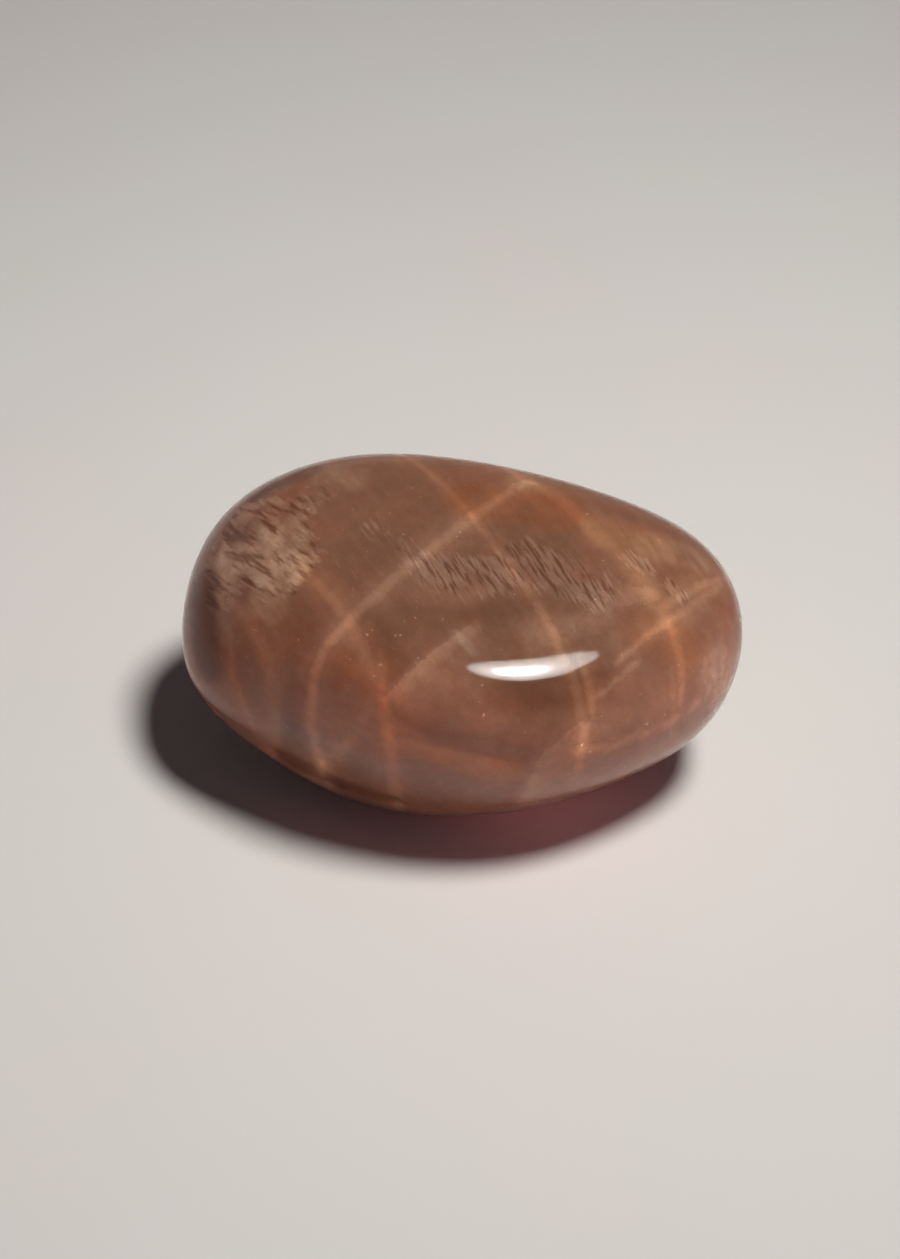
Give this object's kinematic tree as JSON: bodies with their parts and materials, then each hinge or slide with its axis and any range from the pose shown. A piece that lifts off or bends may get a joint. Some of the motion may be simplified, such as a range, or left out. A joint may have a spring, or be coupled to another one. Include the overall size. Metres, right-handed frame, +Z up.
{
  "type": "tumbled moonstone",
  "caption": "Smooth tumble-polished moonstone pebble, egg-shaped in plan with a low crown, resting on a small worn flat.",
  "frame": {"origin": "on the surface that the stone rests on, below the middle of its bounding box", "axes": "+X along the length of the stone, towards its narrow end; +Y across its width; +Z up, through its thickness"},
  "size_m": [0.032, 0.0232, 0.0173],
  "materials": {
    "moonstone": "gloss"
  },
  "bodies": {
    "root": {"moonstone": "moonstone"}
  },
  "joints": []
}
